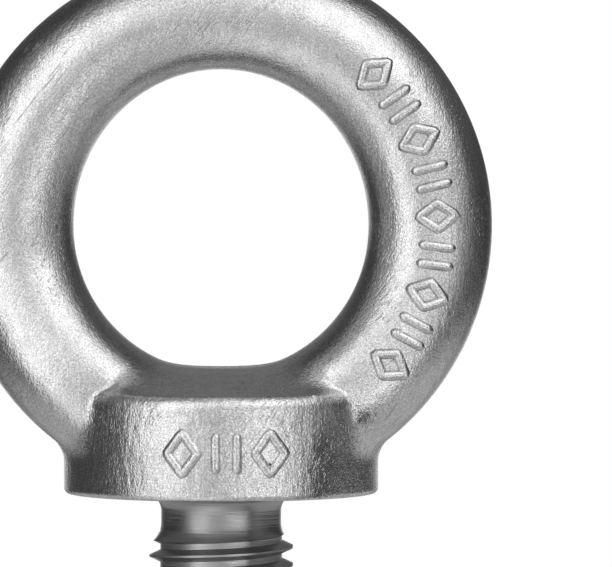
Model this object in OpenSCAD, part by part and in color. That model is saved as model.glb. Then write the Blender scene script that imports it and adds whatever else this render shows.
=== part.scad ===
// Forged lifting eye: a ring that flares through two legs onto a round collar,
// with a relieved neck and a threaded shank below the seat.
// The origin is the centre of the collar's seat. +Z runs up the shank's axis to the
// ring, and the eye opens along Y, across the forging's parting plane.

/* [Ring] */
// Height of the ring's crown above the seat
crown_h = 89.7; // [84:0.1:104]
// Outside diameter of the ring
ring_d = 90.4; // [84:0.4:96]
// Diameter of the eye at mid height
eye_d = 49.1; // [44:0.1:54]
// Height of the eye's floor above the seat
floor_h = 20.9; // [20:0.1:24]
// How much thinner the crown is than the ring's sides, taken off its inside
crown_relief = 1.5; // [0:0.1:3]
// Depth of the ring at its crown, front to back
crown_depth = 20; // [16:0.5:24]
// Depth of the legs where they meet the collar, front to back
leg_depth = 30; // [24:0.5:32]
// Squareness of the legs' sections: 2 is an ellipse, and more is squarer
leg_power = 2.6; // [2:0.1:4]

/* [Collar] */
// Diameter of the collar
collar_d = 52.4; // [48:0.2:58]
// Height of the collar at its rim, before the rim is rounded
collar_h = 17.2; // [14:0.2:19]
// Rise of the collar's top towards the middle, in degrees
top_slope = 4; // [0:0.5:6]
// Radius of the rim's edge
rim_round = 2; // [0.6:0.1:3]
// Radius of the edge round the seat
foot_round = 0.9; // [0.4:0.1:3]

/* [Roots] */
// Largest radius of the flare from the ring's faces onto the collar's top
root_round = 8.5; // [4:0.5:12]
// Width of the ledge in front of a leg over which its flare runs out
flare_ease = 6; // [3:0.5:9]
// Size of the soft corner between each leg and the collar's rim
rim_blend = 0.7; // [0.3:0.1:1.5]
// Size of the soft corner between each leg's outside and the collar's side
side_blend = 1.8; // [0.5:0.1:3]

/* [Shank] */
// Nominal diameter of the thread
thread_d = 24; // [22:0.5:26]
// Length of the shank below the seat
shank_l = 36; // [24:1:60]
// Diameter of the neck that is relieved for the thread's run-out
neck_d = 20; // [18:0.25:21]
// Height at which the neck starts to swell out to the thread, below the seat
neck_l = 4.9; // [4:0.1:7]
// Radius between the neck and the seat
seat_round = 3; // [1:0.25:3.5]
// Radius between the neck and the thread
runout_round = 4.3; // [3:0.1:6]
// Chamfer on the shank's end
end_chamfer = 2; // [0.5:0.25:3]

/* [Smoothness] */
// Degrees between sections of the ring near its roots
root_step = 3; // [2:0.5:6]
// Degrees between sections of the rest of the ring
crown_step = 7; // [4:1:10]
// Sides of each section
section_sides = 36; // [24:4:60]

/* [Hidden] */
$fn = 96;

ring_r = ring_d / 2;
eye_r = eye_d / 2;
ring_z = crown_h - ring_r;
collar_r = collar_d / 2;
thread_r = thread_d / 2;
neck_r = neck_d / 2;

// The floor of the eye is eased into the eye's round over this depth
floor_ease = 1.6;
// The crown's relief fades out this many degrees from the top
crown_span = 90;
// The legs keep their full depth and square shoulders up to the first of these angles,
// and take on the ring's round section by the second
leg_span = 36;
ring_span = 88;
// The roots end this many degrees to each side of straight down
root_span = 51;
// The flare takes this share of the ledge in front of a leg
flare_share = 0.75;
// The side blend takes over from the rim blend over this height, below the rim's edge
blend_fade = 8;
// The roots run out this far under the collar's skin, so that they cut it cleanly
bury = 0.2;
// Halvings that find a section's edge along one line, and how far they look
halvings = 14;
far = collar_r + ring_r;

function ease(t) = let (c = min(max(t, 0), 1)) c * c * (3 - 2 * c);
function soft_min(a, b, k) = let (h = max(k - abs(a - b), 0) / k) min(a, b) - h * h * k / 4;
function filled_min(a, b, r) = max(r, min(a, b)) - norm([max(r - a, 0), max(r - b, 0)]);

// The ring is described by t, the angle from straight down round the eye's axis
function eye_edge(t) = let (
    round_edge = eye_r + crown_relief * ease((t - 180 + crown_span) / crown_span)
) t < root_span ? soft_min(round_edge, (ring_z - floor_h) / cos(t), floor_ease) : round_edge;
function slimming(t) = ease((t - leg_span) / (ring_span - leg_span));
function half_depth(t) = (leg_depth + (crown_depth - leg_depth) * slimming(t)) / 2;
function power(t) = leg_power + (2 - leg_power) * slimming(t);
function mid_radius(t) = (ring_r + eye_edge(t)) / 2;
function half_width(t) = (ring_r - eye_edge(t)) / 2;
// Size of a point in its section: 1 on the outline, less inside it
function section_size(u, v, n) = pow(pow(abs(u), n) + pow(abs(v), n), 1 / n);

// Height of the collar's top at the distance q from the shank's axis
function top_z(q) = collar_h + (collar_r - q) * tan(top_slope);

// The legs' faces flare out over the collar, as far as the ledge in front of them allows
function ledge(x) = max(sqrt(max(collar_r * collar_r - x * x, 0)) - leg_depth / 2, 0);
function flare_r(x) = min(root_round, ledge(x) * flare_share * ease(ledge(x) / flare_ease));
function flare(x, h) = let (r = flare_r(x))
    h >= r ? 0 : h <= 0 ? r : r - sqrt(r * r - (r - h) * (r - h));

// Signed gaps from a point to the ring and to the collar, negative inside
function ring_gap(x, y, z) = let (
    t = atan2(abs(x), ring_z - z),
    across = max(abs(y) - flare(x, z - top_z(norm([x, y])) + bury), 0),
    out = norm([x, ring_z - z]) - mid_radius(t)
) (section_size(out / half_width(t), across / half_depth(t), power(t)) - 1) * half_width(t);
function collar_gap(x, y, z) = let (
    q = norm([x, y]),
    side = q - collar_r + bury + rim_round,
    top = z - top_z(q) + bury + rim_round
) min(max(side, top), 0) + norm([max(side, 0), max(top, 0)]) - rim_round;
function blend(z) = rim_blend
    + (side_blend - rim_blend) * ease((collar_h - rim_round - z) / blend_fade);
function root_gap(x, y, z) =
    max(bury - z, filled_min(ring_gap(x, y, z), collar_gap(x, y, z), blend(z)));

// A point of the section at angle a, r out from the section's middle in direction f
function section_point(a, f, r) = let (rho = mid_radius(abs(a)) + r * cos(f))
    [rho * sin(a), r * sin(f), ring_z - rho * cos(a)];
function inside_root(p) = root_gap(p.x, p.y, p.z) < 0;
function root_edge(a, f, near, beyond, n) = let (middle = (near + beyond) / 2)
    n == 0 ? middle
    : inside_root(section_point(a, f, middle)) ? root_edge(a, f, middle, beyond, n - 1)
    : root_edge(a, f, near, middle, n - 1);
function crown_edge(t, f) =
    1 / section_size(cos(f) / half_width(t), sin(f) / half_depth(t), power(t));
function section(a) = [for (i = [0 : section_sides - 1]) let (f = 360 * i / section_sides)
    section_point(a, f, abs(a) <= root_span ? root_edge(a, f, 0, far, halvings)
        : crown_edge(abs(a), f))];

// The round parts below the ring, as one profile about the shank's axis
module collar_profile() {
    intersection() {
        union() {
            translate([0, foot_round]) square([collar_r, collar_h - foot_round - rim_round]);
            square([collar_r - foot_round, foot_round + rim_round]);
            translate([collar_r - foot_round, foot_round]) circle(foot_round);
            translate([collar_r - rim_round, collar_h - rim_round]) circle(rim_round);
            polygon([
                [0, foot_round],
                [collar_r - rim_round, foot_round],
                [collar_r - rim_round * (1 - sin(top_slope)),
                    collar_h - rim_round * (1 - cos(top_slope))],
                [0, collar_h - rim_round * (1 - cos(top_slope))
                    + (collar_r - rim_round * (1 - sin(top_slope))) * tan(top_slope)]
            ]);
        }
        square([collar_r, crown_h]);
    }
}

module neck_profile() {
    translate([0, -shank_l]) square([neck_r, shank_l]);
    difference() {
        translate([0, -seat_round]) square([neck_r + seat_round, seat_round]);
        translate([neck_r + seat_round, -seat_round]) circle(seat_round);
    }
}

module thread_profile() {
    difference() {
        translate([0, -shank_l]) square([thread_r, shank_l - neck_l]);
        translate([neck_r + runout_round, -neck_l]) circle(runout_round);
        polygon([
            [thread_r - end_chamfer, -shank_l],
            [thread_r, -shank_l + end_chamfer],
            [thread_r, -shank_l]
        ]);
    }
}

module turned_parts() {
    rotate_extrude() {
        collar_profile();
        neck_profile();
        thread_profile();
    }
}

// The ring and its roots, lofted through sections in planes that pass through the eye's axis
module forged_ring() {
    angles = concat(
        [for (a = [-root_span : root_step : root_span]) a],
        [for (a = [root_span + crown_step : crown_step : 360 - root_span - crown_step / 2])
            a > 180 ? a - 360 : a]
    );
    sections = [for (a = angles) section(a)];
    count = len(angles);
    polyhedron(
        points = [for (s = sections) each s],
        faces = [for (k = [0 : count - 1], i = [0 : section_sides - 1]) let (
            k2 = (k + 1) % count,
            i2 = (i + 1) % section_sides,
            p = k * section_sides + i,
            q = k * section_sides + i2,
            r = k2 * section_sides + i2,
            s = k2 * section_sides + i
        ) each [[p, r, q], [p, s, r]]]
    );
}

module eye_bolt() {
    color("silver") {
        turned_parts();
        forged_ring();
    }
}

eye_bolt();
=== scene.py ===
"""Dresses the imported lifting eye: one forging with its raised marks and its threaded shank."""

import math

import bpy
import numpy as np
from mathutils import Matrix, Vector


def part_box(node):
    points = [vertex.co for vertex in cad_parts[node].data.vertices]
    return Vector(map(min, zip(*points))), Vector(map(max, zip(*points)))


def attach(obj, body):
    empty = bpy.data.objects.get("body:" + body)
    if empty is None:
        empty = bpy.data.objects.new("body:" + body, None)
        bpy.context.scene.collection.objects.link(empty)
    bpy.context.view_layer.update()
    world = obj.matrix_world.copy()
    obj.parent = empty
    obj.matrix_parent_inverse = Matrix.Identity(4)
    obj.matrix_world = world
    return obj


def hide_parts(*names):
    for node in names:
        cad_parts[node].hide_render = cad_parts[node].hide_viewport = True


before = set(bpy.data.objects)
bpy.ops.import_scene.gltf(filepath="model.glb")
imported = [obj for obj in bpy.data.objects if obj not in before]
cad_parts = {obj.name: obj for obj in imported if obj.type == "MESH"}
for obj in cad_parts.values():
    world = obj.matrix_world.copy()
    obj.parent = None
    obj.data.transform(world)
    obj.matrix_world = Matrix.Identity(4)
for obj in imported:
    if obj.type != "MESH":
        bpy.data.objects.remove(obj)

bl_info = {
    "name": "Lifting eye",
    "version": (1, 0, 0),
    "blender": (4, 5, 0),
    "location": "View3D > Sidebar > Lifting eye",
    "description": "Builds a forged lifting eye with a threaded shank, its finish and its studio",
    "category": "Object",
}

NODE = "eye_bolt"
BODY = "root"

MM = 0.001
BOX_LOW, BOX_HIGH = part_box(NODE)
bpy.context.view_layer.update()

# The pieces that the operators make and join
FORGING = "eye_bolt_forging"
SHANK = "shank"
# Solids run on this far past the place where they are joined or cut, so that they meet cleanly
BURY = 2.0 * MM
# Sides of what is turned on the lathe, and points along each arc of its profile
TURNED_SIDES = 144
ARC_POINTS = 14
# The seat's flat faces are those below this height whose normals have a z below this
FOOT_EDGE = 0.05 * MM
DOWNWARD = -0.9
# Edges that turn more than this are drawn sharp
SHARP = math.radians(32.0)

# The ring's roots end this many degrees to each side of straight down
ROOT_SPAN = 51.0
# The crown's relief fades out this many degrees from the top
CROWN_SPAN = 90.0
# The eye's floor is followed up to this many degrees from straight down, well outside the eye
FLOOR_SPAN = 70.0
# The legs keep their full depth and their square shoulders up to the first of these angles,
# and take on the round section of the ring by the second
LEG_SPAN = 36.0
RING_SPAN = 88.0
# The flare in front of a leg takes this share of the ledge that it stands on
FLARE_SHARE = 0.75
# Directions round a section lie this many times closer together near its front and its back,
# where the collar's edges are. That fades out between these two angles from there.
FACE_DENSITY = 2.2
FACE_SPAN = 20.0
SIDE_SPAN = 50.0
# Halvings that find how far the metal reaches
HALVINGS = 24

# Depth of the thread's groove and widths of its ridge, as shares of the pitch
THREAD_DEPTH = 0.6134
ROOT_WIDTH = 0.75
CREST_WIDTH = 0.125
# The ridge runs this far past its crest, where the envelope cuts it, and its far edge is
# narrower than the crest by what flanks of this slope lose on the way
OVERRUN = 0.1 * MM
FLANK = math.radians(30.0)
# Steps in each turn of the ridge
THREAD_STEPS = 64
# The fillet under the seat starts at this angle of its arc, just short of level
FILLET_START = 84.0

# The marks are laid out this far in front of the axis, then laid back onto the metal
AHEAD = 40.0 * MM
# Height of the collar's marks, as a share of the collar's height
MARKS_LEVEL = 0.46
# The two bars lie this far to the sides of their mark's middle, as a share of its width
BAR_OFFSET = 0.35
# Sides of a stroke, and its steps and the least size of its open ends, as shares of its radius
STROKE_SIDES = 12
STROKE_STEP = 0.4
STROKE_END = 0.4

# The folds in the collar's skin fade out between these heights
FOLDS_TOP = (16.5 * MM, 19.5 * MM)

# The studio round the object, as the metal shows it. Azimuth 0 lies behind the camera and 90
# to its right, and heights are degrees above level. Each panel has its azimuths, its heights,
# how soft its edges are to the sides and up and down, and its tone; a later one lies on top.
DARK_TONE = 0.065
PANELS = (
    ((-180, 180), (76, 120), (1, 14), 0.85),  # ceiling
    ((162, 198), (4, 62), (14, 6), 0.20),  # back wall
    ((96, 165), (14, 50), (12, 10), 0.10),  # right wall
    ((-60, 66), (-10, 75), (32, 10), 0.70),  # front wall
    ((-90, -50), (18, 60), (8, 12), 0.30),  # front wall's far end
    ((-55, -29), (-28, 50), (17, 10), 1.95),  # left panel
    ((-45, -11), (12, 48), (10, 10), 1.60),  # left panel's wing
    ((11, 66), (19, 60), (16, 6), 1.85),  # high panel
    ((14, 90), (38, 66), (26, 12), 1.60),  # high panel's wing
    ((-180, 180), (-120, -26), (1, 12), 0.48),  # floor in the shade
    ((-20, 150), (-120, -16), (30, 10), 0.53),  # floor to the right
    ((-50, 2), (-62, -16), (13, 12), 1.02),  # floor in front
    ((156, 204), (-14, 1), (10, 4), 1.00),  # backdrop
)
# Low cards that stand nearer: azimuths, heights, distance in metres, and tone
LOW_CARDS = (
    ((9, 50), (-32.0 * MM, 10.0 * MM), 0.26, 2.25),  # bright panel in front
    # The dim flag to the right is painted shade: a dark card that the collar shows in place of its
    # own shadow on the floor beside it
    ((43, 57), (-34.0 * MM, 10.5 * MM), 0.034, 0.08),  # dim flag to the right
)
# Points along a low card
CARD_STEPS = 13
# The dome that the panels are painted on: its middle's height, its radius, how many degrees it
# reaches up and down, its points round and up, and how far it stays off the floor
DOME_MIDDLE = 35.0 * MM
DOME_RADIUS = 0.5
DOME_TOP = 89.0
DOME_STEPS = (181, 120)
FLOOR_CLEARANCE = 0.5 * MM
# The lamps: name, azimuth, height, sides in metres, and tone
LAMPS = (
    ("left_box", -44, 30, (0.4, 0.4), 1.3),
    ("high_box", 45, 45, (0.4, 0.3), 1.3),
)
LAMP_DISTANCE = 0.6
# The floor's half side, and the distances between which its paper runs out into white
FLOOR_HALF = 6.0
PAPER_EDGE = (0.08, 0.3)
PAPER = (0.8, 0.8, 0.8, 1.0)
WHITE = (1.0, 1.0, 1.0, 1.0)
# The camera's focal length and sensor in millimetres, its place, and the point that it faces
LENS = 423.9
SENSOR = 36.0
CAMERA_SPOT = Vector((0.0, -1.2, 75.5 * MM))
CAMERA_AIM = Vector((14.155, 0.0, 34.87)) * MM


# Soft joins

def ease(t):
    c = np.clip(t, 0.0, 1.0)
    return c * c * (3.0 - 2.0 * c)


def soft_min(a, b, k):
    h = np.maximum(k - np.abs(a - b), 0.0) / k
    return np.minimum(a, b) - h * h * k / 4.0


def filled_min(a, b, r):
    """The smaller gap, with the inside corner between the two filled to about the radius r."""
    low = np.minimum(a, b)
    return np.maximum(r, low) - np.hypot(np.maximum(r - a, 0.0), np.maximum(r - b, 0.0))


# Nodes and materials

def add(tree, kind, inputs=None, **settings):
    """Adds a node, sets its properties and fills or links its inputs, by name or number."""
    node = tree.nodes.new(kind)
    for name, value in settings.items():
        setattr(node, name, value)
    for name, value in (inputs or {}).items():
        if isinstance(value, bpy.types.NodeSocket):
            tree.links.new(value, node.inputs[name])
        else:
            node.inputs[name].default_value = value
    return node


def maths(tree, operation, *values):
    return add(tree, "ShaderNodeMath", dict(enumerate(values)), operation=operation).outputs[0]


def noise(tree, place, scale, detail, roughness=0.6):
    return add(tree, "ShaderNodeTexNoise", {
        "Vector": place, "Scale": scale, "Detail": detail,
        "Roughness": roughness}).outputs["Fac"]


def span(tree, value, low, high, new_low, new_high):
    """The value with the range from low to high moved onto the new range."""
    return add(tree, "ShaderNodeMapRange", {
        "Value": value, "From Min": low, "From Max": high,
        "To Min": new_low, "To Max": new_high}).outputs[0]


def bump(tree, height, strength, distance, under=None, invert=False):
    """The surface's normals with the height added to them, on top of those of a bump under it."""
    inputs = {"Height": height, "Strength": strength, "Distance": distance}
    if under is not None:
        inputs["Normal"] = under
    return add(tree, "ShaderNodeBump", inputs, invert=invert).outputs[0]


def new_material(name):
    """A material and its node tree, which is empty."""
    material = bpy.data.materials.new(name)
    material.use_nodes = True
    tree = material.node_tree
    tree.nodes.clear()
    return material, tree


def shared_material(make):
    """The material that a function makes, made once and found by that function's name."""
    return bpy.data.materials.get(make.__name__) or make()


def scratches_and_nicks(tree, place):
    """1 in the nicks and, where the skin is worn, in fine slanting scratches; 0 elsewhere."""
    along = add(tree, "ShaderNodeMapping", {
        "Vector": place, "Rotation": (0.0, math.radians(-52.0), 0.0), "Scale": (25.0, 1.0, 1.0)},
        vector_type="TEXTURE").outputs[0]
    lines = span(tree, noise(tree, along, 2400.0, 1.0), 0.60, 0.70, 0.0, 1.0)
    worn = span(tree, noise(tree, place, 60.0, 1.0), 0.50, 0.62, 0.0, 1.0)
    near = add(tree, "ShaderNodeTexVoronoi", {"Vector": place, "Scale": 110.0}).outputs["Distance"]
    nicks = span(tree, near, 0.03, 0.07, 1.0, 0.0)
    return maths(tree, "MAXIMUM", maths(tree, "MULTIPLY", lines, worn), nicks)


def zinc_skin():
    """Zinc plate over a blasted forging: a satin grey with a fine, sparkling grain."""
    material, tree = new_material("zinc_skin")
    place = add(tree, "ShaderNodeTexCoord").outputs["Object"]
    drawn = add(tree, "ShaderNodeMapping", {
        "Vector": place, "Scale": (1.0, 1.0, 0.4)}).outputs[0]
    # Scales are per metre: the grain is about 0.3 mm across, and the waves are about 6 mm
    grain = noise(tree, place, 3600.0, 2.0)
    pits = noise(tree, drawn, 1500.0, 2.0)
    waves = noise(tree, place, 160.0, 2.0)
    patches = noise(tree, drawn, 480.0, 3.0)
    marred = scratches_and_nicks(tree, place)
    speckle = span(tree, grain, 0.30, 0.70, 0.71, 1.29)
    cloud = span(tree, patches, 0.30, 0.70, 0.90, 1.08)
    tone = maths(tree, "MULTIPLY", maths(tree, "MULTIPLY", speckle, cloud),
                 span(tree, marred, 0.0, 1.0, 1.0, 0.78))
    colour = add(tree, "ShaderNodeVectorMath", {
        0: bpy.context.scene.eye_sizes.zinc_colour, "Scale": tone}, operation="SCALE").outputs[0]
    height = add(tree, "ShaderNodeSeparateXYZ", {"Vector": place}).outputs["Z"]
    on_collar = span(tree, height, *FOLDS_TOP, 1.0, 0.0)
    folds = maths(tree, "SUBTRACT", noise(tree, drawn, 700.0, 3.0), 0.5)
    normal = bump(tree, waves, 0.25, 0.4 * MM)
    normal = bump(tree, maths(tree, "MULTIPLY", folds, on_collar), 0.5, 0.3 * MM, normal)
    normal = bump(tree, pits, 0.6, 0.12 * MM, normal)
    normal = bump(tree, marred, 0.5, 0.1 * MM, normal, invert=True)
    normal = bump(tree, grain, 0.8, 0.08 * MM, normal)
    shader = add(tree, "ShaderNodeBsdfPrincipled", {
        "Base Color": colour, "Metallic": 1.0,
        "Roughness": span(tree, pits, 0.30, 0.70, 0.14, 0.24), "Normal": normal})
    add(tree, "ShaderNodeOutputMaterial", {"Surface": shader.outputs[0]})
    return material


def turned_steel():
    """Zinc plate over turned metal: fine rings left by the tool, round the shank's axis."""
    material, tree = new_material("turned_steel")
    place = add(tree, "ShaderNodeTexCoord").outputs["Object"]
    stretched = add(tree, "ShaderNodeMapping", {
        "Vector": place, "Scale": (0.02, 0.02, 1.0)}).outputs[0]
    rings = noise(tree, stretched, 3000.0, 3.0, roughness=0.5)
    wear = noise(tree, place, 240.0, 3.0, roughness=0.5)
    # Its colour is darker than the zinc skin's: partly the turned finish's own, partly painted
    # shade for the neck under the collar
    shader = add(tree, "ShaderNodeBsdfPrincipled", {
        "Base Color": (*bpy.context.scene.eye_sizes.turned_colour, 1.0), "Metallic": 1.0,
        "Roughness": span(tree, wear, 0.30, 0.70, 0.26, 0.38),
        "Normal": bump(tree, rings, 0.7, 0.1 * MM)})
    add(tree, "ShaderNodeOutputMaterial", {"Surface": shader.outputs[0]})
    return material


# Solids

def mesh_object(name, points, faces, edges=()):
    """A mesh of the points and faces, as a new object of the scene, unturned at the origin."""
    mesh = bpy.data.meshes.new(name)
    mesh.from_pydata([tuple(p) for p in points], list(edges), [tuple(f) for f in faces])
    mesh.validate()
    mesh.update()
    piece = bpy.data.objects.new(name, mesh)
    bpy.context.scene.collection.objects.link(piece)
    return piece


def lathe(name, profile):
    """A closed solid turned about the shank's axis, from its profile's top to its bottom."""
    turns = np.arange(TURNED_SIDES) * 2.0 * math.pi / TURNED_SIDES
    points = [(r * math.cos(a), r * math.sin(a), z) for r, z in profile for a in turns]
    top = len(points)
    points += [(0.0, 0.0, profile[0][1]), (0.0, 0.0, profile[-1][1])]
    last = (len(profile) - 1) * TURNED_SIDES
    faces = []
    for i in range(TURNED_SIDES):
        j = (i + 1) % TURNED_SIDES
        faces += [(k + i, k + TURNED_SIDES + i, k + TURNED_SIDES + j, k + j)
                  for k in range(0, last, TURNED_SIDES)]
        faces += [(top, i, j), (top + 1, last + j, last + i)]
    return mesh_object(name, points, faces)


def arc(r, z, radius, start, end):
    """Points of an arc in the profile plane, its middle at r, z and its angles in degrees."""
    return [(r + radius * math.cos(a), z + radius * math.sin(a))
            for a in np.radians(np.linspace(start, end, ARC_POINTS))]


def set_finishes(piece, is_turned):
    """Gives the piece both finishes, and the turned one to the faces that is_turned picks."""
    piece.data.materials.clear()
    for make in (zinc_skin, turned_steel):
        piece.data.materials.append(shared_material(make))
    for face in piece.data.polygons:
        face.material_index = int(is_turned(face))


def settle(piece):
    """Turns what the piece's modifiers make of it into its plain mesh."""
    bpy.context.view_layer.update()
    graph = bpy.context.evaluated_depsgraph_get()
    mesh = bpy.data.meshes.new_from_object(piece.evaluated_get(graph))
    old = piece.data
    piece.modifiers.clear()
    piece.data = mesh
    bpy.data.meshes.remove(old)


def combine(piece, other, operation):
    """Joins the other solid to the piece, or keeps what they share, and drops the other."""
    modifier = piece.modifiers.new(operation.lower(), "BOOLEAN")
    modifier.operation = operation
    modifier.solver = "MANIFOLD"
    modifier.object = other
    settle(piece)
    bpy.data.objects.remove(other)


def grow(piece, tree, values):
    """Runs a node group on the piece with its named inputs, and keeps the mesh it makes."""
    modifier = piece.modifiers.new(tree.name, "NODES")
    modifier.node_group = tree
    for item in tree.interface.items_tree:
        if item.in_out == "INPUT" and item.name in values:
            modifier[item.identifier] = values[item.name]
    settle(piece)


def new_group(name, sockets):
    """A geometry node group with the named inputs; returns it and its input sockets."""
    tree = bpy.data.node_groups.new(name, "GeometryNodeTree")
    tree.interface.new_socket("Geometry", in_out="OUTPUT", socket_type="NodeSocketGeometry")
    for label, kind in sockets.items():
        tree.interface.new_socket(label, in_out="INPUT", socket_type="NodeSocket" + kind)
    return tree, add(tree, "NodeGroupInput").outputs


def finish_group(tree, geometry, material):
    """Ends a node group: makes its instances real and gives the whole its material."""
    real = add(tree, "GeometryNodeRealizeInstances", {"Geometry": geometry})
    dressed = add(tree, "GeometryNodeSetMaterial", {
        "Geometry": real.outputs[0], "Material": material})
    add(tree, "NodeGroupOutput", {"Geometry": dressed.outputs[0]})


# The forging

class Forging:
    """The rule that the forging's skin follows. Lengths are in metres, angles in degrees.

    t is the angle from straight down, round the eye's axis. A gap is negative inside the metal.
    """

    def __init__(self, sizes):
        self.sizes = sizes
        self.ring_r = sizes.ring_d / 2.0
        self.eye_r = sizes.eye_d / 2.0
        self.ring_z = sizes.crown_h - self.ring_r
        self.collar_r = sizes.collar_d / 2.0
        self.slope = math.tan(sizes.top_slope)
        # The collar's front stands back by the height of the marks on it
        self.front = 1.0 - (sizes.stroke_r - sizes.stroke_sink) / self.collar_r

    def eye_edge(self, t):
        """How far the eye's edge lies from its middle."""
        relief = self.sizes.crown_relief * ease((t - 180.0 + CROWN_SPAN) / CROWN_SPAN)
        low = np.cos(np.radians(np.minimum(t, FLOOR_SPAN)))
        floor = (self.ring_z - self.sizes.floor_h) / low
        return soft_min(self.eye_r + relief, floor, self.sizes.floor_ease)

    def slimming(self, t):
        """0 in the legs and 1 in the round part of the ring."""
        return ease((t - LEG_SPAN) / (RING_SPAN - LEG_SPAN))

    def half_depth(self, t):
        change = (self.sizes.crown_depth - self.sizes.leg_depth) * self.slimming(t)
        return (self.sizes.leg_depth + change) / 2.0

    def power(self, t):
        """The exponent of the section's outline: 2 is an ellipse, more is squarer."""
        return self.sizes.leg_power + (2.0 - self.sizes.leg_power) * self.slimming(t)

    def mid_radius(self, t):
        return (self.ring_r + self.eye_edge(t)) / 2.0

    def half_width(self, t):
        return (self.ring_r - self.eye_edge(t)) / 2.0

    def from_axis(self, x, y):
        """Distance from the shank's axis, drawn out in front, where the collar stands back."""
        return np.hypot(x, np.where(y < 0.0, y / self.front, y))

    def top_z(self, q):
        """Height of the collar's top at the distance q from the shank's axis."""
        return self.sizes.collar_h + (self.collar_r - q) * self.slope

    def flare(self, x, h):
        """How far a leg's faces flare out, h above the collar's top."""
        ledge = np.sqrt(np.maximum(self.collar_r**2 - x * x, 0.0)) - self.sizes.leg_depth / 2.0
        share = FLARE_SHARE * ease(ledge / self.sizes.flare_ease)
        r = np.clip(ledge * share, 0.0, self.sizes.root_round)
        inner = np.clip(r - h, 0.0, r)
        return r - np.sqrt(r * r - inner * inner)

    def ring_gap(self, x, y, z):
        t = np.degrees(np.arctan2(np.abs(x), self.ring_z - z))
        flare = self.flare(x, z - self.top_z(self.from_axis(x, y)))
        across = np.maximum(np.abs(y) - flare, 0.0)
        out = np.hypot(x, self.ring_z - z) - self.mid_radius(t)
        half = self.half_width(t)
        n = self.power(t)
        size = (np.abs(out / half) ** n + (across / self.half_depth(t)) ** n) ** (1.0 / n)
        return (size - 1.0) * half

    def collar_gap(self, x, y, z):
        q = self.from_axis(x, y)
        edge = self.sizes.rim_round
        side = q - self.collar_r + edge
        top = z - self.top_z(q) + edge
        flat = np.minimum(np.maximum(side, top), 0.0)
        return flat + np.hypot(np.maximum(side, 0.0), np.maximum(top, 0.0)) - edge

    def skin_gap(self, x, y, z):
        below = ease((self.sizes.collar_h - self.sizes.rim_round - z) / self.sizes.blend_fade)
        fill = self.sizes.rim_blend + (self.sizes.side_blend - self.sizes.rim_blend) * below
        body = filled_min(self.ring_gap(x, y, z), self.collar_gap(x, y, z), fill)
        return np.maximum(body, -BURY - z)

    def point(self, a, f, r):
        """A point r out from the middle of the section at angle a, in direction f."""
        rho = self.mid_radius(np.abs(a)) + r * np.cos(np.radians(f))
        turn = np.radians(a)
        return rho * np.sin(turn), r * np.sin(np.radians(f)), self.ring_z - rho * np.cos(turn)

    def reach(self, a, f):
        """How far the metal reaches from the sections' middles, found by halving."""
        near = np.zeros_like(a)
        beyond = np.full_like(a, self.ring_r + self.collar_r)
        for _ in range(HALVINGS):
            middle = (near + beyond) / 2.0
            inside = self.skin_gap(*self.point(a, f, middle)) < 0.0
            near = np.where(inside, middle, near)
            beyond = np.where(inside, beyond, middle)
        return near


def section_angles(sizes):
    """Where the sections lie round the eye's axis, closest together at the roots."""
    root = np.arange(-ROOT_SPAN, ROOT_SPAN, sizes.root_step)
    crown = np.arange(ROOT_SPAN, 360.0 - ROOT_SPAN, sizes.crown_step)
    crown = np.where(crown > 180.0, crown - 360.0, crown)
    return np.concatenate([root, crown])


def section_directions(count):
    """Directions round a section, closest together near its front and its back."""
    fine = np.linspace(0.0, 360.0, 3601)
    off_face = np.abs(fine % 180.0 - 90.0)
    thinning = ease((off_face - FACE_SPAN) / (SIDE_SPAN - FACE_SPAN))
    density = FACE_DENSITY + (1.0 - FACE_DENSITY) * thinning
    total = np.concatenate([[0.0], np.cumsum((density[1:] + density[:-1]) / 2.0)])
    wanted = np.arange(count) * total[-1] / count
    return np.interp(wanted, total, fine)


def build_forging(sizes):
    """Lofts the skin through the sections, and cuts it off at the seat with its rounded edge."""
    rule = Forging(sizes)
    angles = section_angles(sizes)
    ways = section_directions(sizes.section_sides)
    a, f = np.meshgrid(angles, ways, indexing="ij")
    x, y, z = rule.point(a, f, rule.reach(a, f))
    points = np.stack([x, y, z], axis=-1).reshape(-1, 3)
    rows, sides = a.shape
    k, i = np.meshgrid(np.arange(rows), np.arange(sides), indexing="ij")
    k2, i2 = (k + 1) % rows, (i + 1) % sides
    faces = np.stack([k * sides + i, k * sides + i2, k2 * sides + i2, k2 * sides + i], axis=-1)
    forging = mesh_object(FORGING, points, faces.reshape(-1, 4).tolist())
    wide, edge = sizes.ring_d, sizes.foot_round
    foot = lathe("foot", [(wide, wide + sizes.crown_h), (wide, edge)]
        + arc(sizes.collar_d / 2.0 - edge, edge, edge, 0.0, -90.0))
    for vertex in foot.data.vertices:
        vertex.co.y *= rule.front if vertex.co.y < 0.0 else 1.0
    combine(forging, foot, "INTERSECT")
    set_finishes(
        forging, lambda face: face.center.z < FOOT_EDGE and face.normal.z < DOWNWARD)


# The shank

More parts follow.
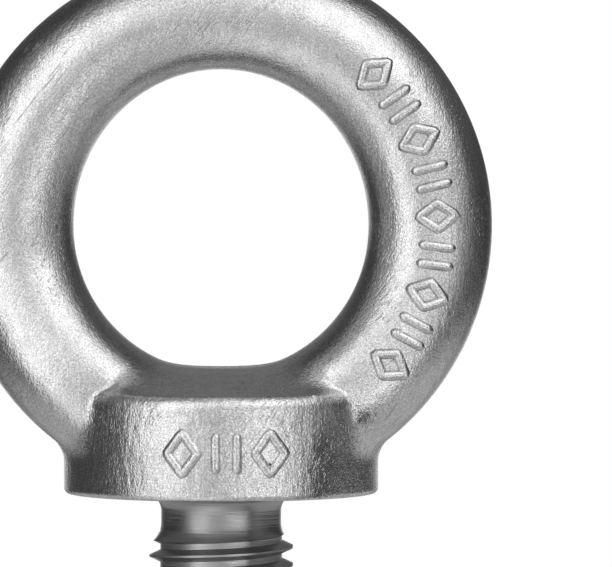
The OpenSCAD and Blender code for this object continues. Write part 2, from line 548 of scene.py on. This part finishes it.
def thread_group():
    """A ridge swept down a right-handed helix, as one closed solid."""
    tree, given = new_group("thread_ridge", {
        "Turns": "Float", "Steps": "Int", "Length": "Float", "Root Radius": "Float",
        "Root Width": "Float", "Crest Width": "Float", "Rise": "Float", "Sink": "Float",
        "Material": "Material"})
    helix = add(tree, "GeometryNodeCurveSpiral", {
        "Resolution": given["Steps"], "Rotations": given["Turns"],
        "Start Radius": given["Root Radius"], "End Radius": given["Root Radius"],
        "Height": given["Length"], "Reverse": True})
    level = add(tree, "GeometryNodeSetCurveNormal", {"Curve": helix.outputs[0]}, mode="Z_UP")
    profile = add(tree, "GeometryNodeCurvePrimitiveQuadrilateral", mode="POINTS")
    for number, (reach, way, width, side) in enumerate((
            ("Sink", -1.0, "Root Width", 0.5), ("Sink", -1.0, "Root Width", -0.5),
            ("Rise", 1.0, "Crest Width", -0.5), ("Rise", 1.0, "Crest Width", 0.5)), 1):
        corner = add(tree, "ShaderNodeCombineXYZ", {
            "X": maths(tree, "MULTIPLY", given[reach], way),
            "Y": maths(tree, "MULTIPLY", given[width], side)})
        tree.links.new(corner.outputs[0], profile.inputs[f"Point {number}"])
    ridge = add(tree, "GeometryNodeCurveToMesh", {
        "Curve": level.outputs[0], "Profile Curve": profile.outputs[0], "Fill Caps": True})
    finish_group(tree, ridge.outputs[0], given["Material"])
    return tree


def build_shank(sizes):
    """Puts the thread's ridge on its core, and keeps what lies inside the turned envelope."""
    thread_r, neck_r = sizes.thread_d / 2.0, sizes.neck_d / 2.0
    root_r = thread_r - THREAD_DEPTH * sizes.pitch
    flange_r = neck_r + sizes.seat_round
    # Degrees of the run-out's arc, from the neck to where it reaches the thread's outside
    full = math.degrees(math.acos((neck_r + sizes.runout_round - thread_r) / sizes.runout_round))
    end = -sizes.shank_l
    fillet = arc(flange_r, -sizes.seat_round, sizes.seat_round, FILLET_START, 180.0)
    envelope = lathe("envelope", [(fillet[0][0], BURY)] + fillet
        + arc(neck_r + sizes.runout_round, -sizes.neck_l, sizes.runout_round, 180.0, 180.0 + full)
        + [(thread_r, end + sizes.end_chamfer), (thread_r - sizes.end_chamfer, end)])
    shank = lathe(SHANK, [
        (flange_r + BURY, 2.0 * BURY), (flange_r + BURY, -sizes.neck_l),
        (root_r, -sizes.neck_l), (root_r, end - BURY)])
    ridge = mesh_object("ridge", [(0.0, 0.0, 0.0)], [])
    turns = sizes.shank_l / sizes.pitch + 1.0
    grow(ridge, thread_group(), {
        "Turns": turns, "Steps": THREAD_STEPS, "Length": turns * sizes.pitch, "Root Radius": root_r,
        "Root Width": ROOT_WIDTH * sizes.pitch,
        "Crest Width": CREST_WIDTH * sizes.pitch - 2.0 * OVERRUN * math.tan(FLANK),
        "Rise": thread_r + OVERRUN - root_r, "Sink": 2.0 * OVERRUN,
        "Material": shared_material(turned_steel)})
    ridge.data.transform(Matrix.Translation((0.0, 0.0, end - sizes.pitch)))
    combine(shank, ridge, "UNION")
    combine(shank, envelope, "INTERSECT")
    set_finishes(shank, lambda face: True)
    return shank


# The raised marks

def round_ends(tree, stroke):
    """The size of a stroke all along it, as a share of its radius, with open ends made round."""
    along = add(tree, "GeometryNodeSplineParameter").outputs["Length"]
    whole = add(tree, "GeometryNodeSplineLength").outputs["Length"]
    closed = add(tree, "GeometryNodeInputSplineCyclic").outputs[0]
    from_end = maths(tree, "MINIMUM", along, maths(tree, "SUBTRACT", whole, along))
    beyond = span(tree, from_end, 0.0, stroke, 1.0, 0.0)
    left = maths(tree, "SUBTRACT", 1.0, maths(tree, "POWER", beyond, 2.0))
    least = maths(tree, "MAXIMUM", closed, STROKE_END)
    return maths(tree, "MAXIMUM", maths(tree, "SQRT", left), least)


def marks_group():
    """Generic raised marks at a path's points: lozenges and pairs of bars, laid on the metal."""
    tree, given = new_group("raised_marks", {
        "Geometry": "Geometry", "Metal": "Object", "Width": "Float", "Height": "Float",
        "Stroke": "Float", "Sink": "Float", "Material": "Material"})
    path = add(tree, "GeometryNodeMeshToCurve", {"Mesh": given["Geometry"]})
    places = add(tree, "GeometryNodeCurveToPoints", {"Curve": path.outputs[0]}, mode="EVALUATED")
    turn = add(tree, "FunctionNodeAlignRotationToVector", {
        "Vector": places.outputs["Tangent"]}, axis="X", pivot_axis="Y")
    lozenge = add(tree, "GeometryNodeCurvePrimitiveQuadrilateral", {
        "Point 1": (0.5, 0.0, 0.0), "Point 2": (0.0, 0.0, 0.5),
        "Point 3": (-0.5, 0.0, 0.0), "Point 4": (0.0, 0.0, -0.5)}, mode="POINTS")
    bars = add(tree, "GeometryNodeJoinGeometry")
    for x in (-BAR_OFFSET, BAR_OFFSET):
        bar = add(tree, "GeometryNodeCurvePrimitiveLine", {
            "Start": (x, 0.0, -0.5), "End": (x, 0.0, 0.5)})
        tree.links.new(bar.outputs[0], bars.inputs[0])
    kinds = (bars, lozenge)
    choice = add(tree, "GeometryNodeJoinGeometry")
    for kind in kinds:
        whole = add(tree, "GeometryNodeGeometryToInstance", {"Geometry": kind.outputs[0]})
        tree.links.new(whole.outputs[0], choice.inputs[0])
    index = add(tree, "GeometryNodeInputIndex")
    pick = maths(tree, "MODULO", index.outputs[0], len(kinds))
    size = add(tree, "ShaderNodeCombineXYZ", {"X": given["Width"], "Y": 1.0, "Z": given["Height"]})
    placed = add(tree, "GeometryNodeInstanceOnPoints", {
        "Points": places.outputs["Points"], "Instance": choice.outputs[0], "Pick Instance": True,
        "Instance Index": pick, "Rotation": turn.outputs[0], "Scale": size.outputs[0]})
    lines = add(tree, "GeometryNodeRealizeInstances", {"Geometry": placed.outputs[0]})
    fine = add(tree, "GeometryNodeResampleCurve", {
        "Curve": lines.outputs[0],
        "Length": maths(tree, "MULTIPLY", given["Stroke"], STROKE_STEP)}, mode="LENGTH")
    metal = add(tree, "GeometryNodeObjectInfo", {"Object": given["Metal"]})
    ray = add(tree, "GeometryNodeRaycast", {
        "Target Geometry": metal.outputs["Geometry"], "Ray Direction": (0.0, 1.0, 0.0),
        "Ray Length": 1.0})
    under = add(tree, "ShaderNodeVectorMath", {
        0: ray.outputs["Hit Normal"], "Scale": maths(tree, "MULTIPLY", given["Sink"], -1.0)},
        operation="SCALE")
    spot = add(tree, "ShaderNodeVectorMath", {
        0: ray.outputs["Hit Position"], 1: under.outputs[0]}, operation="ADD")
    laid = add(tree, "GeometryNodeSetPosition", {
        "Geometry": fine.outputs[0], "Position": spot.outputs[0]})
    round_stroke = add(tree, "GeometryNodeCurvePrimitiveCircle", {
        "Resolution": STROKE_SIDES, "Radius": given["Stroke"]})
    strokes = add(tree, "GeometryNodeCurveToMesh", {
        "Curve": laid.outputs[0], "Profile Curve": round_stroke.outputs[0], "Fill Caps": True,
        "Scale": round_ends(tree, given["Stroke"])})
    finish_group(tree, strokes.outputs[0], given["Material"])
    return tree


def build_marks(sizes):
    """Grows the marks of the ring and of the collar, each from a path in front of the metal."""
    ring_z = Forging(sizes).ring_z
    turns = np.linspace(sizes.marks_from, sizes.marks_to, sizes.marks_count)
    out = sizes.marks_radius
    ring_path = [(out * math.sin(t), -AHEAD, ring_z - out * math.cos(t)) for t in turns]
    level = sizes.collar_h * MARKS_LEVEL
    collar_path = [(sizes.collar_marks_x + k * sizes.collar_marks_step, -AHEAD, level)
                   for k in (-1, 0, 1)]
    tree = marks_group()
    common = {
        "Metal": bpy.data.objects[FORGING], "Stroke": sizes.stroke_r, "Sink": sizes.stroke_sink,
        "Material": shared_material(zinc_skin)}
    pieces = []
    for name, path, width, height in (
            ("ring_marks", ring_path, sizes.marks_w, sizes.marks_h),
            ("collar_marks", collar_path, sizes.collar_marks_w, sizes.collar_marks_h)):
        piece = mesh_object(name, path, [], [(k, k + 1) for k in range(len(path) - 1)])
        grow(piece, tree, {**common, "Width": width, "Height": height})
        pieces.append(piece)
    return pieces


# The studio

def soft_step(value, edge, softness):
    """0 well below the edge and 1 well above it, with a soft ramp over twice the softness."""
    return ease((value - edge + softness) / (2.0 * softness))


def surround_tone(azimuth, height):
    """How bright the studio's surroundings are in a direction, from its painted panels."""
    tone = np.full(azimuth.shape, DARK_TONE)
    for (left, right), (low, high), (side_soft, level_soft), panel_tone in PANELS:
        middle, half = (left + right) / 2.0, (right - left) / 2.0
        off = np.abs((azimuth - middle + 180.0) % 360.0 - 180.0)
        across = soft_step(half - off, 0.0, side_soft) if half < 180.0 else 1.0
        up = soft_step(height, low, level_soft) * soft_step(high - height, 0.0, level_soft)
        tone = tone + (panel_tone - tone) * across * up
    return tone


def painted_panels():
    """Shows each point of the surroundings as bright as its tone."""
    material, tree = new_material("painted_panels")
    tone = add(tree, "ShaderNodeAttribute", attribute_name="tone")
    shader = add(tree, "ShaderNodeEmission", {"Color": tone.outputs["Fac"], "Strength": 1.0})
    add(tree, "ShaderNodeOutputMaterial", {"Surface": shader.outputs[0]})
    return material


def dress_card(card, tone):
    """Paints a card of the studio with its tones, and shows it to nothing but reflections."""
    tones = card.data.attributes.new("tone", "FLOAT", "POINT")
    tones.data.foreach_set("value", tone)
    card.data.materials.append(shared_material(painted_panels))
    card.visible_camera = False
    card.visible_diffuse = False
    card.visible_shadow = False
    card.visible_transmission = False


def make_surround():
    """A dome of soft panels that only the metal's reflections see, down to just over the floor."""
    azimuth, height = np.meshgrid(
        np.radians(np.linspace(-180.0, 180.0, DOME_STEPS[0])),
        np.radians(np.linspace(-DOME_TOP, DOME_TOP, DOME_STEPS[1])), indexing="ij")
    drop = DOME_MIDDLE - BOX_LOW[2] - FLOOR_CLEARANCE
    reach = np.minimum(DOME_RADIUS, drop / np.maximum(-np.sin(height), 1e-6))
    level = reach * np.cos(height)
    points = np.stack([
        level * np.sin(azimuth), -level * np.cos(azimuth),
        DOME_MIDDLE + reach * np.sin(height)], axis=-1).reshape(-1, 3)
    rows, sides = azimuth.shape
    faces = [
        (i * sides + j, i * sides + j + 1, (i + 1) * sides + j + 1, (i + 1) * sides + j)
        for i in range(rows - 1) for j in range(sides - 1)
    ]
    dome = mesh_object("surround", points, faces)
    dress_card(dome, surround_tone(np.degrees(azimuth), np.degrees(height)).ravel())


def make_low_cards():
    """Cards so low and near that the collar shows them and the ring hardly does."""
    for azimuths, heights, distance, tone in LOW_CARDS:
        turns = np.radians(np.linspace(*azimuths, CARD_STEPS))
        points = [(distance * math.sin(a), -distance * math.cos(a), z)
                  for z in heights for a in turns]
        faces = [(i, i + 1, CARD_STEPS + i + 1, CARD_STEPS + i) for i in range(CARD_STEPS - 1)]
        card = mesh_object("low_card", points, faces)
        dress_card(card, np.full(len(points), tone))


def softbox(name, azimuth, height, size, tone):
    """An area lamp that lights the floor; the metal shows the painted panels in its place."""
    light = bpy.data.lights.new(name, "AREA")
    light.shape = "RECTANGLE"
    light.size, light.size_y = size
    light.energy = math.pi * size[0] * size[1] * tone
    lamp = bpy.data.objects.new(name, light)
    a, e = math.radians(azimuth), math.radians(height)
    way = Vector((math.sin(a) * math.cos(e), -math.cos(a) * math.cos(e), math.sin(e)))
    lamp.location = way * LAMP_DISTANCE
    lamp.rotation_euler = way.to_track_quat("Z", "Y").to_euler()
    lamp.visible_camera = False
    lamp.visible_glossy = False
    bpy.context.scene.collection.objects.link(lamp)


def make_lights():
    make_surround()
    make_low_cards()
    for lamp in LAMPS:
        softbox(*lamp)


def is_backdrop_ray(tree):
    """1 for the rays that show the backdrop: to the camera, in metal and through glass."""
    path = add(tree, "ShaderNodeLightPath").outputs
    seen = maths(tree, "MAXIMUM", path["Is Camera Ray"], path["Is Glossy Ray"])
    return maths(tree, "MAXIMUM", seen, path["Is Transmission Ray"])


def make_world():
    """Pale light from all round, with plain white wherever the backdrop shows."""
    world = bpy.data.worlds.new("studio")
    world.use_nodes = True
    tree = world.node_tree
    tree.nodes.clear()
    room = add(tree, "ShaderNodeBackground", {"Color": PAPER})
    white = add(tree, "ShaderNodeBackground", {"Color": WHITE})
    mix = add(tree, "ShaderNodeMixShader", {
        "Fac": is_backdrop_ray(tree), 1: room.outputs[0], 2: white.outputs[0]})
    add(tree, "ShaderNodeOutputWorld", {"Surface": mix.outputs[0]})
    bpy.context.scene.world = world


def floor_material():
    """Pale paper near the object, which runs out into the white of the backdrop."""
    material, tree = new_material("floor")
    place = add(tree, "ShaderNodeTexCoord").outputs["Object"]
    paper = add(tree, "ShaderNodeBsdfPrincipled", {
        "Base Color": PAPER, "Roughness": 0.9, "Specular IOR Level": 0.0})
    white = add(tree, "ShaderNodeEmission", {"Color": WHITE, "Strength": 1.0})
    away = add(tree, "ShaderNodeVectorMath", {0: place}, operation="LENGTH").outputs["Value"]
    out = span(tree, away, *PAPER_EDGE, 0.0, 1.0)
    mix = add(tree, "ShaderNodeMixShader", {
        "Fac": maths(tree, "MULTIPLY", out, is_backdrop_ray(tree)),
        1: paper.outputs[0], 2: white.outputs[0]})
    add(tree, "ShaderNodeOutputMaterial", {"Surface": mix.outputs[0]})
    return material


def make_floor():
    half, low = FLOOR_HALF, BOX_LOW[2]
    corners = [(-half, -half, low), (half, -half, low), (half, half, low), (-half, half, low)]
    floor = mesh_object("floor", corners, [(0, 1, 2, 3)])
    floor.data.materials.append(floor_material())


def make_camera():
    camera = bpy.data.objects.new("camera", bpy.data.cameras.new("camera"))
    camera.data.lens = LENS
    camera.data.sensor_width = SENSOR
    camera.location = CAMERA_SPOT
    camera.rotation_euler = (CAMERA_AIM - CAMERA_SPOT).to_track_quat("-Z", "Y").to_euler()
    bpy.context.scene.collection.objects.link(camera)
    bpy.context.scene.camera = camera


# The add-on

class EyeSizes(bpy.types.PropertyGroup):
    """Sizes and colours of the lifting eye, and how finely its skin is drawn"""

    crown_h: bpy.props.FloatProperty(
        name="Crown height", description="Height of the ring's crown above the seat",
        default=BOX_HIGH[2], unit="LENGTH")
    ring_d: bpy.props.FloatProperty(
        name="Ring diameter", description="Outside diameter of the ring",
        default=BOX_HIGH[0] - BOX_LOW[0], unit="LENGTH")
    eye_d: bpy.props.FloatProperty(
        name="Eye diameter", description="Diameter of the eye at mid height",
        default=49.1 * MM, unit="LENGTH")
    floor_h: bpy.props.FloatProperty(
        name="Floor height", description="Height of the eye's floor above the seat",
        default=20.85 * MM, unit="LENGTH")
    floor_ease: bpy.props.FloatProperty(
        name="Floor ease", description="Depth over which the floor eases into the eye's round",
        default=1.6 * MM, unit="LENGTH")
    crown_relief: bpy.props.FloatProperty(
        name="Crown relief", description="How much thinner the crown is than the ring's sides",
        default=1.5 * MM, unit="LENGTH")
    crown_depth: bpy.props.FloatProperty(
        name="Crown depth", description="Depth of the ring at its crown, front to back",
        default=20.0 * MM, unit="LENGTH")
    leg_depth: bpy.props.FloatProperty(
        name="Leg depth", description="Depth of the legs above the collar, front to back",
        default=30.0 * MM, unit="LENGTH")
    leg_power: bpy.props.FloatProperty(
        name="Leg power", description="Squareness of the legs' sections: 2 is an ellipse",
        default=2.6)
    collar_d: bpy.props.FloatProperty(
        name="Collar diameter", description="Diameter of the collar",
        default=BOX_HIGH[1] - BOX_LOW[1], unit="LENGTH")
    collar_h: bpy.props.FloatProperty(
        name="Collar height", description="Height of the collar at its rim",
        default=17.2 * MM, unit="LENGTH")
    top_slope: bpy.props.FloatProperty(
        name="Top slope", description="Rise of the collar's top towards the middle",
        default=math.radians(4.0), subtype="ANGLE")
    rim_round: bpy.props.FloatProperty(
        name="Rim radius", description="Radius of the rim's edge",
        default=2.0 * MM, unit="LENGTH")
    foot_round: bpy.props.FloatProperty(
        name="Foot radius", description="Radius of the edge round the seat",
        default=0.9 * MM, unit="LENGTH")
    root_round: bpy.props.FloatProperty(
        name="Root radius", description="Radius of the flare from each leg onto the collar",
        default=8.5 * MM, unit="LENGTH")
    flare_ease: bpy.props.FloatProperty(
        name="Flare ease", description="Width of ledge over which the flare runs out",
        default=6.0 * MM, unit="LENGTH")
    rim_blend: bpy.props.FloatProperty(
        name="Rim blend", description="Size of the corner between leg and rim",
        default=0.7 * MM, unit="LENGTH")
    side_blend: bpy.props.FloatProperty(
        name="Side blend", description="Size of the corner between leg and collar",
        default=1.8 * MM, unit="LENGTH")
    blend_fade: bpy.props.FloatProperty(
        name="Blend fade", description="Height over which the side blend fades in",
        default=8.0 * MM, unit="LENGTH")
    thread_d: bpy.props.FloatProperty(
        name="Thread diameter", description="Outside diameter of the thread",
        default=24.0 * MM, unit="LENGTH")
    pitch: bpy.props.FloatProperty(
        name="Pitch", description="Rise of the thread in one turn",
        default=3.0 * MM, unit="LENGTH")
    shank_l: bpy.props.FloatProperty(
        name="Shank length", description="Length of the shank below the seat",
        default=-BOX_LOW[2], unit="LENGTH")
    neck_d: bpy.props.FloatProperty(
        name="Neck diameter", description="Diameter of the relieved neck",
        default=20.0 * MM, unit="LENGTH")
    neck_l: bpy.props.FloatProperty(
        name="Neck length", description="Depth below the seat at which the neck swells out",
        default=4.9 * MM, unit="LENGTH")
    seat_round: bpy.props.FloatProperty(
        name="Seat radius", description="Radius between the neck and the seat",
        default=3.0 * MM, unit="LENGTH")
    runout_round: bpy.props.FloatProperty(
        name="Run-out radius", description="Radius between the neck and the thread",
        default=4.3 * MM, unit="LENGTH")
    end_chamfer: bpy.props.FloatProperty(
        name="End chamfer", description="Chamfer on the shank's end",
        default=2.0 * MM, unit="LENGTH")
    marks_from: bpy.props.FloatProperty(
        name="Marks from", description="Angle from straight down to the ring's first mark",
        default=math.radians(51.0), subtype="ANGLE")
    marks_to: bpy.props.FloatProperty(
        name="Marks to", description="Angle from straight down to the ring's last mark",
        default=math.radians(135.0), subtype="ANGLE")
    marks_count: bpy.props.IntProperty(
        name="Marks", description="Number of raised marks on the ring", default=9)
    marks_radius: bpy.props.FloatProperty(
        name="Marks radius", description="Distance of the marks from the ring's middle",
        default=35.8 * MM, unit="LENGTH")
    marks_w: bpy.props.FloatProperty(
        name="Mark width", description="Width of a mark along the ring",
        default=4.4 * MM, unit="LENGTH")
    marks_h: bpy.props.FloatProperty(
        name="Mark height", description="Height of a mark across the ring",
        default=6.2 * MM, unit="LENGTH")
    collar_marks_x: bpy.props.FloatProperty(
        name="Collar marks", description="Place of the collar's middle mark, to the right",
        default=0.8 * MM, unit="LENGTH")
    collar_marks_step: bpy.props.FloatProperty(
        name="Collar mark step", description="Distance between the collar's marks",
        default=7.2 * MM, unit="LENGTH")
    collar_marks_w: bpy.props.FloatProperty(
        name="Collar mark width", description="Width of a mark on the collar",
        default=5.0 * MM, unit="LENGTH")
    collar_marks_h: bpy.props.FloatProperty(
        name="Collar mark height", description="Height of a mark on the collar",
        default=6.8 * MM, unit="LENGTH")
    stroke_r: bpy.props.FloatProperty(
        name="Stroke radius", description="Radius of the marks' strokes",
        default=0.9 * MM, unit="LENGTH")
    stroke_sink: bpy.props.FloatProperty(
        name="Stroke sink", description="Depth of a stroke's middle under the skin",
        default=0.15 * MM, unit="LENGTH")
    root_step: bpy.props.FloatProperty(
        name="Root step", description="Degrees between sections near the roots", default=0.6)
    crown_step: bpy.props.FloatProperty(
        name="Crown step", description="Degrees between sections of the rest", default=2.0)
    section_sides: bpy.props.IntProperty(
        name="Section sides", description="Sides of each section", default=160)
    zinc_colour: bpy.props.FloatVectorProperty(
        name="Zinc colour", description="Mean colour of the zinc plate over the forging",
        default=(0.62, 0.62, 0.62), min=0.0, max=1.0, subtype="COLOR")
    # The turned finish is kept darker than the zinc skin: partly its own colour, partly painted
    # shade for the neck under the collar
    turned_colour: bpy.props.FloatVectorProperty(
        name="Turned colour", description="Colour of the turned neck, shank and seat",
        default=(0.38, 0.38, 0.38), min=0.0, max=1.0, subtype="COLOR")


class EYE_OT_forging(bpy.types.Operator):
    """Lofts the ring, its legs and the collar as one skin"""

    bl_idname = "lifting_eye.forging"
    bl_label = "Forge the body"

    def execute(self, context):
        build_forging(context.scene.eye_sizes)
        return {"FINISHED"}


class EYE_OT_shank(bpy.types.Operator):
    """Turns the neck and the shank, and cuts the thread"""

    bl_idname = "lifting_eye.shank"
    bl_label = "Turn the shank"

    def execute(self, context):
        shank = build_shank(context.scene.eye_sizes)
        combine(bpy.data.objects[FORGING], shank, "UNION")
        return {"FINISHED"}


class EYE_OT_marks(bpy.types.Operator):
    """Raises the generic marks on the ring and on the collar"""

    bl_idname = "lifting_eye.marks"
    bl_label = "Raise the marks"

    def execute(self, context):
        for marks in build_marks(context.scene.eye_sizes):
            combine(bpy.data.objects[FORGING], marks, "UNION")
        return {"FINISHED"}


class EYE_OT_stage(bpy.types.Operator):
    """Sets the camera, the backdrop, the floor, the painted panels and cards, and the lamps"""

    bl_idname = "lifting_eye.stage"
    bl_label = "Set the stage"

    def execute(self, context):
        make_camera()
        make_world()
        make_floor()
        make_lights()
        context.scene.view_settings.view_transform = "Standard"
        return {"FINISHED"}


class EYE_PT_panel(bpy.types.Panel):
    bl_label = "Lifting eye"
    bl_space_type = "VIEW_3D"
    bl_region_type = "UI"
    bl_category = "Lifting eye"

    def draw(self, context):
        for name in context.scene.eye_sizes.__annotations__:
            self.layout.prop(context.scene.eye_sizes, name)
        for kind in OPERATORS:
            self.layout.operator(kind.bl_idname)


OPERATORS = (EYE_OT_forging, EYE_OT_shank, EYE_OT_marks, EYE_OT_stage)
CLASSES = (EyeSizes, *OPERATORS, EYE_PT_panel)


def register():
    for kind in CLASSES:
        bpy.utils.register_class(kind)
    bpy.types.Scene.eye_sizes = bpy.props.PointerProperty(type=EyeSizes)


def unregister():
    del bpy.types.Scene.eye_sizes
    for kind in reversed(CLASSES):
        bpy.utils.unregister_class(kind)


def main():
    """Makes the piece and the stage."""
    register()
    bpy.ops.lifting_eye.forging()
    bpy.ops.lifting_eye.shank()
    bpy.ops.lifting_eye.marks()
    forging = bpy.data.objects[FORGING]
    forging.data.shade_smooth()
    forging.data.set_sharp_from_angle(angle=SHARP)
    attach(forging, BODY)
    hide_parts(NODE)
    bpy.ops.lifting_eye.stage()


if __name__ == "__main__":
    main()
